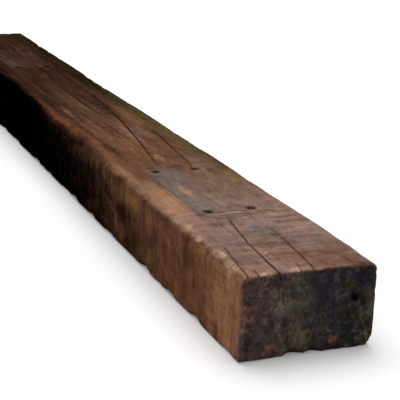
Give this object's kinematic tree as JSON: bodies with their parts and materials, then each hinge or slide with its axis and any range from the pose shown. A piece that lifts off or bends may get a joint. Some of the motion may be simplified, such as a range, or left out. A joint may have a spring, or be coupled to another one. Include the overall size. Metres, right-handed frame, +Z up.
{
  "type": "railway sleeper",
  "caption": "Reclaimed hardwood railway sleeper: a sawn balk with worn edges, a wane, pressed rail seats, through screw holes and drying splits. It carries rails, or edges beds and steps.",
  "frame": {"origin": "middle of the underside", "axes": "+X along the sleeper, towards the end that the picture shows nearest; +Y across; +Z up"},
  "size_m": [2.5, 0.25, 0.15],
  "materials": {
    "weathered_hardwood": "rough sawn and weathered: red brown top, tar-black stains on one side, grey-black ends with lichen"
  },
  "bodies": {
    "root": {"sleeper": "weathered_hardwood"}
  },
  "joints": []
}
